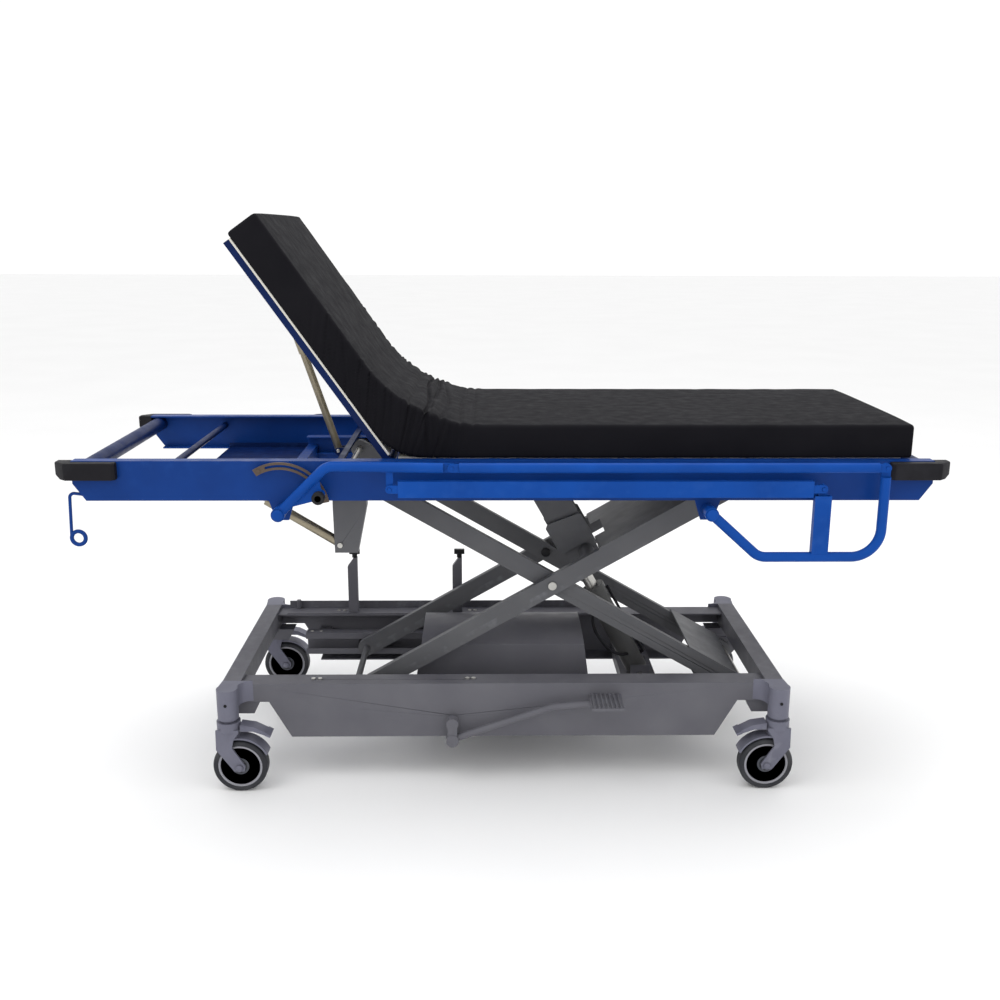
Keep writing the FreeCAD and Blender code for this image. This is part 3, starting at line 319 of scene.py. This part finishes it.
def finish_nodes():
    """Finish and softly broken edges on every CAD node that stays; the backrest frame and cross tubes get a
    darker copy of the frame blue as painted shade.
    """
    for name, obj in NODES.items():
        dress(obj, NODE_FINISH.get(name, SLOT_OF[name]))
        mesh = obj.data
        if "custom_normal" in mesh.attributes:
            mesh.attributes.remove(mesh.attributes["custom_normal"])
        mesh.polygons.foreach_set("use_smooth", [True] * len(mesh.polygons))
        weld = obj.modifiers.new("weld", "WELD")
        weld.merge_threshold = 0.00001
        bevel = obj.modifiers.new("edge_break", "BEVEL")
        bevel.width = BUMPER_BREAK if name == "bumpers" else EDGE_BREAK
        bevel.segments = 3 if name == "bumpers" else 2
        bevel.limit_method = "ANGLE"
        bevel.angle_limit = math.radians(38)
        bevel.harden_normals = True
        bevel.use_clamp_overlap = True
        even = obj.modifiers.new("even_normals", "WEIGHTED_NORMAL")
        even.mode = "FACE_AREA"
        even.weight = 60


# ---- mesh helpers ---------------------------------------------------------------------------
def mesh_object(name, bm, material, body, smooth=True):
    mesh = bpy.data.meshes.new(name)
    bmesh.ops.recalc_face_normals(bm, faces=bm.faces)
    bm.to_mesh(mesh)
    bm.free()
    mesh.polygons.foreach_set("use_smooth", [smooth] * len(mesh.polygons))
    obj = bpy.data.objects.new(name, mesh)
    SCENE.collection.objects.link(obj)
    dress(obj, material)
    if body:
        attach(obj, body)
    return obj


def skin(bm, rings):
    """Quads between each closed ring of points and the next."""
    count = len(rings[0])
    for low, high in zip(rings, rings[1:]):
        for step in range(count):
            after = (step + 1) % count
            bm.faces.new((low[step], low[after], high[after], high[step]))


def lathe_into(bm, profile, place, axis, sides=40):
    """Adds a closed body of revolution round an axis; its profile is (distance along it, radius)."""
    axis = Vector(axis).normalized()
    first = axis.orthogonal().normalized()
    second = axis.cross(first)
    rings = []
    for along, radius in profile:
        centre = Vector(place) + axis * along
        ring = []
        for step in range(sides):
            turn = 2 * math.pi * step / sides
            ring.append(bm.verts.new(centre + (first * math.cos(turn) + second * math.sin(turn)) * radius))
        rings.append(ring)
    skin(bm, rings)
    bm.faces.new(rings[0])
    bm.faces.new(rings[-1])


def crisp(obj):
    """Small even bevel on the sharp edges."""
    bevel = obj.modifiers.new("edge_break", "BEVEL")
    bevel.width = 0.0005
    bevel.segments = 2
    bevel.limit_method = "ANGLE"
    bevel.angle_limit = math.radians(40)
    bevel.harden_normals = True


def turned(name, items, material, body, sides=40):
    """One piece made of several bodies of revolution."""
    bm = bmesh.new()
    for profile, place, axis in items:
        lathe_into(bm, profile, place, axis, sides)
    obj = mesh_object(name, bm, material, body)
    crisp(obj)
    return obj


def dome(radius, height):
    """Low rounded cap standing on a flat face."""
    steps, flat = 5, 0.35
    points = [(0, radius)]
    for step in range(1, steps):
        turn = math.pi / 2 * step / steps
        points.append((height * math.sin(turn), radius * (flat + (1 - flat) * math.cos(turn))))
    points.append((height, radius * 0.3))
    return points


# ---- mattress -------------------------------------------------------------------------------
HINGE = Vector((-0.255, 0, 0.764))
RAISED = math.radians(55.0)
UNDERSIDE = 0.0155
THICK = 0.0730
HALF_WIDTH = 0.281
FOOT_X = 0.896
HEAD_REACH = 0.590
UNDER_RADIUS = 0.135
TOP_RADIUS = 0.315
ZONE_REACH = 0.205
EDGE_RADIUS = 0.0065
END_ZONE = 0.012
SLANT = 1.3
SIDE_FOLD = 0.0052
SIDE_BULGE = 0.003
CROWN = 0.0025
EDGE_RIDGE = 0.0016
TOP_RIDGE = 0.0036
SOFTNESS = 0.0005
RIDGE_ZONE = 0.09


def bent_line(corner, radius, reach):
    """Line to -X that turns up by RAISED round a corner, from one reach before it to one after."""
    tangent = radius * math.tan(RAISED / 2)
    arc = radius * RAISED
    before = reach - tangent
    centre = corner + Vector((tangent, 0, radius))

    def at(distance):
        if distance <= before:
            return corner + Vector((reach - distance, 0, 0))
        turn = min((distance - before) / radius, RAISED)
        point = centre + Vector((-math.sin(turn), 0, -math.cos(turn))) * radius
        beyond = max(0.0, distance - before - arc)
        return point + Vector((-math.cos(RAISED), 0, math.sin(RAISED))) * beyond

    return at, 2 * before + arc


def mattress_path():
    """Stations along the pad: each gives a bottom point and the top point above it."""
    half_turn = math.tan(RAISED / 2)
    low_corner = HINGE + Vector((UNDERSIDE * half_turn, 0, UNDERSIDE))
    top_corner = low_corner + Vector((THICK * half_turn, 0, THICK))
    low_at, low_length = bent_line(low_corner, UNDER_RADIUS, ZONE_REACH)
    top_at, top_length = bent_line(top_corner, TOP_RADIUS, ZONE_REACH - THICK * half_turn)
    seat_length = FOOT_X - low_corner.x - ZONE_REACH
    back_length = HEAD_REACH - UNDERSIDE * half_turn - ZONE_REACH
    total = seat_length + low_length + back_length
    back_way = Vector((-math.cos(RAISED), 0, math.sin(RAISED)))

    def at(distance):
        if distance <= seat_length:
            low = Vector((FOOT_X - distance, 0, low_corner.z))
            return low, low + Vector((0, 0, THICK))
        inside = distance - seat_length
        if inside <= low_length:
            return low_at(inside), top_at(inside * top_length / low_length)
        beyond = back_way * (inside - low_length)
        return low_at(low_length) + beyond, top_at(top_length) + beyond

    return at, total, seat_length, low_length


def stations_along(total, seat_length, bend_length):
    """Distances along the pad, closer together where the cover is gathered and at the ends."""
    bend_end = seat_length + bend_length
    runs = (
        (0.0, END_ZONE, 10), (END_ZONE, seat_length, 130), (seat_length, bend_end, 300),
        (bend_end, total - END_ZONE, 110), (total - END_ZONE, total, 10),
    )
    distances = [0.0]
    for start, end, count in runs:
        distances += [start + (end - start) * (step + 1) / count for step in range(count)]
    return distances


def smooth_step(value):
    value = max(0.0, min(1.0, value))
    return value * value * (3 - 2 * value)


def window(distance, start, end):
    """1 well inside start to end, fading to 0 towards both."""
    fade = 0.35 * (end - start)
    return smooth_step((distance - start) / fade) * smooth_step((end - distance) / fade)


def section_ring(half, thick, radius, columns, rows):
    """Closed rounded-rectangle outline as (y, z), from the near bottom corner by the far side."""
    corner_steps = 5
    wide, high = 2 * (half - radius), thick - 2 * radius
    sides = (
        (-half + radius, 0.0, 1, 0, wide, columns), (half, radius, 0, 1, high, rows),
        (half - radius, thick, -1, 0, wide, columns), (-half, thick - radius, 0, -1, high, rows),
    )
    points = []
    for y, z, y_way, z_way, run, count in sides:
        for step in range(count + 1):
            points.append((y + y_way * run * step / count, z + z_way * run * step / count))
        for step in range(1, corner_steps):
            turn = math.pi / 2 * step / corner_steps
            ahead, aside = radius * math.sin(turn), radius * (1 - math.cos(turn))
            end_y, end_z = y + y_way * run, z + z_way * run
            points.append((
                end_y + y_way * ahead - z_way * aside, end_z + z_way * ahead + y_way * aside,
            ))
    return points


class Folds:
    """Gathered folds of the cover where the pad bends, the same on every run."""

    def __init__(self, seed, start, end, spacing, widths):
        draw = random.Random(seed)
        self.folds = []
        place = start
        while place < end:
            self.folds.append((
                place, draw.uniform(*widths), draw.uniform(0.35, 1.0), draw.uniform(-0.9, 0.9),
                draw.uniform(-0.016, 0.016), draw.uniform(4, 12), draw.uniform(0, 6.3),
            ))
            place += spacing * draw.uniform(0.6, 1.45)

    def height(self, distance, across, up):
        """How far the cover stands out (or in) at a place, as a share of a fold's full depth."""
        total = 0.0
        for centre, width, size, slope, wobble, rate, phase in self.folds:
            wander = wobble * math.sin(rate * across + phase)
            offset = distance - centre - slope * (up - 0.5) * 0.03 - wander
            if abs(offset) > 5 * width:
                continue
            near = math.exp(-(offset / width) ** 2)
            dip = math.exp(-((offset - width * 1.5) / (width * 0.5)) ** 2)
            total += size * (near - 1.1 * dip)
        return total


def make_mattress():
    """One bent pad on the seat deck and the backrest board, gathered where it bends."""
    at, total, seat_length, bend_length = mattress_path()
    start, end = seat_length + 0.01, seat_length + bend_length + 0.24
    top_start, top_end = seat_length - 0.03, seat_length + 0.75 * bend_length
    side_folds = Folds(3, start, end + SLANT * THICK, 0.019, (0.0045, 0.0085))
    far_folds = Folds(21, start, end + SLANT * THICK, 0.021, (0.0045, 0.0085))
    top_folds = Folds(8, top_start, top_end, 0.036, (0.008, 0.016))
    soft = Folds(5, 0.05, total - 0.05, 0.11, (0.02, 0.05))
    ring_points = section_ring(HALF_WIDTH, THICK, EDGE_RADIUS, 60, 12)
    bm = bmesh.new()
    rings = []
    for distance in stations_along(total, seat_length, bend_length):
        base, crest = at(distance)
        rise = crest - base
        edge = min(distance, total - distance)
        tuck = 0.0
        if edge < EDGE_RADIUS:
            tuck = EDGE_RADIUS - math.sqrt(max(0.0, EDGE_RADIUS ** 2 - (EDGE_RADIUS - edge) ** 2))
        shrink = 1 - tuck / HALF_WIDTH
        lean = SLANT * smooth_step((distance - seat_length) / bend_length)
        gather = window(distance, start, end)
        top_gather = window(distance, top_start, top_end)
        ring = []
        for y, z in ring_points:
            up = z / THICK
            side = smooth_step((abs(y) - (HALF_WIDTH - RIDGE_ZONE)) / RIDGE_ZONE)
            folds = side_folds if y < 0 else far_folds
            ridge = folds.height(distance + lean * (1 - up) * THICK, y, up)
            top_ridge = top_folds.height(distance, y, up)
            face = math.copysign(smooth_step((abs(y) - (HALF_WIDTH - EDGE_RADIUS)) / EDGE_RADIUS), y)
            bulge = SIDE_BULGE * math.sin(math.pi * up)
            y_out = y + face * gather * (SIDE_FOLD * ridge * (0.45 + 0.55 * up) + bulge)
            y_out += face * SOFTNESS * soft.height(distance + 0.4 * z, y, up)
            crown = CROWN * (1 - (y / HALF_WIDTH) ** 4)
            ridges = EDGE_RIDGE * gather * ridge * side + TOP_RIDGE * top_gather * top_ridge
            z_out = z + up * (crown + ridges + SOFTNESS * soft.height(distance, y, up))
            z_mid = THICK / 2
            z_tuck = z_mid + (z_out - z_mid) * (1 - tuck / z_mid)
            ring.append(bm.verts.new(base + rise * (z_tuck / THICK) + Vector((0, y_out * shrink, 0))))
        rings.append(ring)
    skin(bm, rings)
    for ring in (rings[0], rings[-1]):
        cap = bm.faces.new(ring)
        bmesh.ops.triangulate(bm, faces=[cap])
    pad = mesh_object("mattress", bm, "mattress_cover", None)
    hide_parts("mattress_seat", "mattress_back")
    bend_start, _ = at(seat_length + bend_length * 0.10)
    bend_end, _ = at(seat_length + bend_length * 0.90)
    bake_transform(pad)


# ---- casters --------------------------------------------------------------------------------
CASTERS = {"head_near": (-1, -1), "head_far": (-1, 1), "foot_near": (1, -1), "foot_far": (1, 1)}
CASTER_X = 0.632
CASTER_Y = 0.305
CASTER_TRAIL = 0.024
WHEEL_Z = 0.0625
RING_PROFILE = [(0, 0.0515), (0.0012, 0.0508), (0.0015, 0.0465), (0, 0.0460)]
DISC_PROFILE = [
    (-0.002, 0.043), (0.0016, 0.0425), (0.0030, 0.036), (0.0012, 0.026), (0.0045, 0.019), (0.0048, 0.016),
]
GRUB_PROFILE = [(0, 0.0042), (0.0018, 0.0040), (0.0018, 0.002)]


def make_caster_details():
    """Pale rings and discs on the wheels, axle caps on the forks, grub screws in the sockets."""
    for corner, (x_side, y_side) in CASTERS.items():
        x = x_side * (CASTER_X - CASTER_TRAIL)
        y = y_side * CASTER_Y
        wheel, fork = f"caster_{corner}_wheel", f"caster_{corner}_fork"
        rings, discs, caps = [], [], []
        for face in (-1, 1):
            axis = (0, face, 0)
            rings.append((RING_PROFILE, (x, y + face * 0.0133, WHEEL_Z), axis))
            discs.append((DISC_PROFILE, (x, y + face * 0.0094, WHEEL_Z), axis))
            caps.append((dome(0.0085, 0.005), (x, y + face * 0.0255, WHEEL_Z), axis))
        turned(f"wheel_rings_{corner}", rings, "wheel_ring", wheel, 64)
        turned(f"wheel_discs_{corner}", discs, "wheel_disc", wheel, 64)
        turned(f"axle_caps_{corner}", caps, "caster_grey", fork)
        grub = [(GRUB_PROFILE, (x_side * CASTER_X, y_side * 0.3286, 0.217), (0, y_side, 0))]
        turned(f"grub_screw_{corner}", grub, "black_plastic", "base", 6)


# ---- pivots, screws and other fittings --------------------------------------------------------
CROSSING = (0.1160, 0.4449)
LIFT_PIVOT_X = 0.5944
LIFT_PIVOT_Z = 0.1695
UPPER_PIVOT_Z = 0.7203
SIDE_PIVOTS_X = (-0.487, 0.444)
SIDE_PIVOT_Z = 0.671
PIN_REACH = 0.099
PIN_TURN = math.radians(24.6)
GRIP_PROFILE = [(0, 0.0125), (0.002, 0.0138), (0.016, 0.0138), (0.0185, 0.012), (0.0195, 0.007)]


def caps_on_both_sides(profile, x, y, z, outwards=1):
    """The same cap at y and -y, facing away from the middle, or towards it with outwards -1."""
    return [(profile, (x, side * y, z), (0, side * outwards, 0)) for side in (-1, 1)]


def make_fittings():
    # Black caps on the inner ends of the crossing pin: their black is painted shade standing in for the
    # dark hole where the arms cross.
    crossing = caps_on_both_sides(dome(0.0125, 0.005), CROSSING[0], 0.116, CROSSING[1], -1)
    turned("crossing_caps_painted_shade", crossing, "black_plastic", "inner_arms")
    bolts = caps_on_both_sides(dome(0.0050, 0.003), -0.400, 0.013, 0.742)
    turned("spring_bolts", bolts, "zinc", "top_frame")
    upper = caps_on_both_sides(dome(0.012, 0.005), LIFT_PIVOT_X, 0.196, UPPER_PIVOT_Z)
    turned("subframe_pivot_caps", upper, "zinc", "subframe")
    lower = caps_on_both_sides(dome(0.014, 0.005), LIFT_PIVOT_X, 0.1475, LIFT_PIVOT_Z)
    turned("base_pivot_caps", lower, "zinc", "base")
    pin_x = SIDE_PIVOTS_X[0] + PIN_REACH * math.cos(PIN_TURN)
    pin_z = SIDE_PIVOT_Z + PIN_REACH * math.sin(PIN_TURN)
    for name, side in (("near", -1), ("far", 1)):
        axis = (0, side, 0)
        hubs = [(dome(0.0125, 0.004), (x, side * 0.362, SIDE_PIVOT_Z), axis) for x in SIDE_PIVOTS_X]
        turned(f"side_{name}_hub_caps", hubs, "rail_blue", "top_frame")
        grip = [(GRIP_PROFILE, (pin_x, side * 0.3625, pin_z), axis)]
        turned(f"side_{name}_grip", grip, "black_plastic", f"side_{name}_pin", 24)


def make_track_screws():
    screws = []
    for side in (-1, 1):
        for x in (-0.515, -0.49, -0.25):
            screws.append((dome(0.0048, 0.0022), (x, side * 0.190, 0.1995), (0, 0, 1)))
    turned("track_screws", screws, "zinc", "base", 20)


# ---- hydraulic lines on the lift cylinder -----------------------------------------------------
HOSE_ROUTE = (
    (0.2356, -0.025, 0.3755), (0.222, -0.058, 0.345), (0.228, -0.064, 0.290), (0.286, -0.058, 0.222),
    (0.320, -0.0232, 0.2176),
)
HOSE_DIAMETER = 0.008
CYLINDER_FOOT = Vector((0.351, 0, 0.165))
CYLINDER_TURN = math.radians(118.73545)
PIPE_PORTS = (0.040, 0.238)
PIPE_RADIUS = 0.0035


def make_hydraulic_lines():
    """Flexible hose from the cylinder's head to its foot, and a steel pipe along its barrel."""
    curve = bpy.data.curves.new("hydraulic_hose", "CURVE")
    curve.dimensions = "3D"
    curve.bevel_depth = HOSE_DIAMETER / 2
    curve.bevel_resolution = 6
    curve.use_fill_caps = True
    spline = curve.splines.new("NURBS")
    spline.points.add(len(HOSE_ROUTE) - 1)
    for point, place in zip(spline.points, HOSE_ROUTE):
        point.co = (*place, 1)
    spline.order_u = 3
    spline.use_endpoint_u = True
    spline.resolution_u = 24
    hose = bpy.data.objects.new("hydraulic_hose", curve)
    SCENE.collection.objects.link(hose)
    dress(hose, "black_rubber")
    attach(hose, "lift_cylinder")
    along = Vector((math.cos(CYLINDER_TURN), 0, math.sin(CYLINDER_TURN)))
    across = Vector((along.z, 0, -along.x))
    low, high = (CYLINDER_FOOT + along * port + across * 0.024 for port in PIPE_PORTS)
    run = (high - low).length
    straight = [(0, 0.0015), (0.001, PIPE_RADIUS), (run + 0.006, PIPE_RADIUS), (run + 0.007, 0.0015)]
    stub = [(0, 0.0055), (0.006, 0.0055), (0.0065, PIPE_RADIUS), (0.0125, PIPE_RADIUS), (0.0135, 0.0015)]
    straight_start = low + across * 0.010 - along * PIPE_RADIUS
    pieces = [(straight, straight_start, along), (stub, low, across), (stub, high, across)]
    pipe = turned("hydraulic_pipe", pieces, "black_rubber", "lift_cylinder", 24)
    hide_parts("lift_pipes")
    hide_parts("lift_pipes")


# ---- studio ---------------------------------------------------------------------------------
LIGHTS = (
    ("key", (-1.6, -1.2, 3.8), (0, 0, 0.7), 2.4, 34),
    ("fill", (2.8, -1.6, 2.4), (0.2, 0, 0.6), 2.0, 8),
    ("top", (0.6, 0.9, 3.9), (0, 0, 0.7), 2.6, 40),
)


def make_studio():
    """Pale floor, white surroundings and three large soft lights: place, target, size and power."""
    bm = bmesh.new()
    bmesh.ops.create_grid(bm, x_segments=2, y_segments=2, size=30)
    floor = mesh_object("floor", bm, "floor", None, False)
    world = bpy.data.worlds.new("world")
    SCENE.world = world
    world.use_nodes = True
    background = world.node_tree.nodes["Background"]
    background.inputs["Color"].default_value = (1.0, 1.0, 1.0, 1)
    background.inputs["Strength"].default_value = 1.05
    SCENE.view_settings.view_transform = "Standard"
    for name, place, target, size, power in LIGHTS:
        data = bpy.data.lights.new(name, "AREA")
        data.shape = "SQUARE"
        data.size = size
        data.energy = power
        light = bpy.data.objects.new(name, data)
        light.location = place
        light.rotation_mode = "QUATERNION"
        light.rotation_quaternion = (Vector(target) - Vector(place)).to_track_quat("-Z", "Y")
        SCENE.collection.objects.link(light)


make_camera()
finish_nodes()
make_mattress()
make_caster_details()
make_fittings()
make_track_screws()
make_hydraulic_lines()
make_studio()
